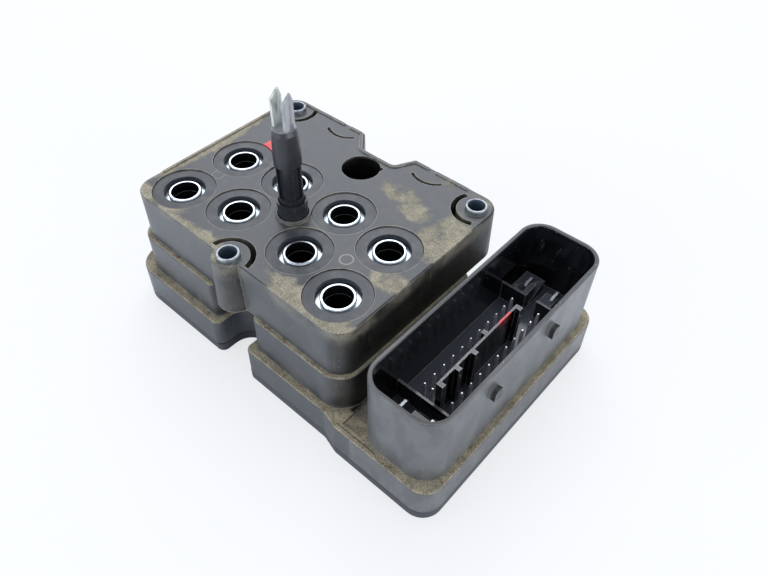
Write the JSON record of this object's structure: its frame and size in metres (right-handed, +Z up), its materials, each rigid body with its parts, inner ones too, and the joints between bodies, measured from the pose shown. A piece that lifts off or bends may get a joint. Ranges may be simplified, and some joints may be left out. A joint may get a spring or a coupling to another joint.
{
  "type": "abs brake module",
  "caption": "Brake control unit: stepped black housing with solenoid coils, a motor plug post and a walled multi-pin connector.",
  "frame": {"origin": "on the resting face of the base cover, near its middle", "axes": "+X from the coil deck to the connector, +Y to the long side with the recess in the deck edge, +Z up, out of the coil bores"},
  "size_m": [0.129, 0.0847, 0.0831],
  "materials": {
    "housing_plastic": "moulded black glass-filled nylon, dusty",
    "cover_plastic": "moulded black glass-filled nylon",
    "bobbin_plastic": "moulded black nylon",
    "post_plastic": "glossy moulded black polyester",
    "grip_plastic": "matte moulded black polyester",
    "seal_rubber": "black silicone",
    "board_laminate": "green solder resist on glass laminate",
    "chip_resin": "black moulding resin",
    "capacitor_aluminium": "plain aluminium can",
    "crystal_can": "nickel-plated can",
    "winding_copper": "enamelled copper wire",
    "can_steel": "plain steel",
    "sleeve_zinc": "bright zinc plate",
    "bush_steel": "turned, zinc plated, dulled",
    "pin_tin": "tin-plated copper alloy",
    "blade_tin": "tin-plated copper alloy",
    "contact_tin": "tin-plated copper alloy, aged"
  },
  "bodies": {
    "root": {"housing": "housing_plastic", "base_cover": "cover_plastic", "cover_seal": "seal_rubber", "circuit_board": "board_laminate", "bush_front": "bush_steel", "bush_back_left": "bush_steel", "bush_back_right": "bush_steel", "coil_1_bobbin": "bobbin_plastic", "coil_1_winding": "winding_copper", "coil_1_can": "can_steel", "coil_1_sleeve": "sleeve_zinc", "coil_2_bobbin": "bobbin_plastic", "coil_2_winding": "winding_copper", "coil_2_can": "can_steel", "coil_2_sleeve": "sleeve_zinc", "coil_3_bobbin": "bobbin_plastic", "coil_3_winding": "winding_copper", "coil_3_can": "can_steel", "coil_3_sleeve": "sleeve_zinc", "coil_4_bobbin": "bobbin_plastic", "coil_4_winding": "winding_copper", "coil_4_can": "can_steel", "coil_4_sleeve": "sleeve_zinc", "coil_5_bobbin": "bobbin_plastic", "coil_5_winding": "winding_copper", "coil_5_can": "can_steel", "coil_5_sleeve": "sleeve_zinc", "coil_6_bobbin": "bobbin_plastic", "coil_6_winding": "winding_copper", "coil_6_can": "can_steel", "coil_6_sleeve": "sleeve_zinc", "coil_7_bobbin": "bobbin_plastic", "coil_7_winding": "winding_copper", "coil_7_can": "can_steel", "coil_7_sleeve": "sleeve_zinc", "coil_8_bobbin": "bobbin_plastic", "coil_8_winding": "winding_copper", "coil_8_can": "can_steel", "coil_8_sleeve": "sleeve_zinc", "coil_pins": "pin_tin", "motor_plug_post": "post_plastic", "motor_plug_grip": "grip_plastic", "motor_contact_left": "contact_tin", "motor_contact_right": "contact_tin", "signal_pins_row_a": "pin_tin", "signal_pins_row_b": "pin_tin", "signal_pins_row_c": "pin_tin", "signal_pins_row_d": "pin_tin", "power_blade_front_inner": "blade_tin", "power_blade_front_outer": "blade_tin", "power_blade_back_inner": "blade_tin", "power_blade_back_outer": "blade_tin", "controller_chip": "chip_resin", "valve_driver_chip": "chip_resin", "power_transistors": "chip_resin", "capacitors": "capacitor_aluminium", "clock_crystal": "crystal_can"}
  },
  "joints": []
}
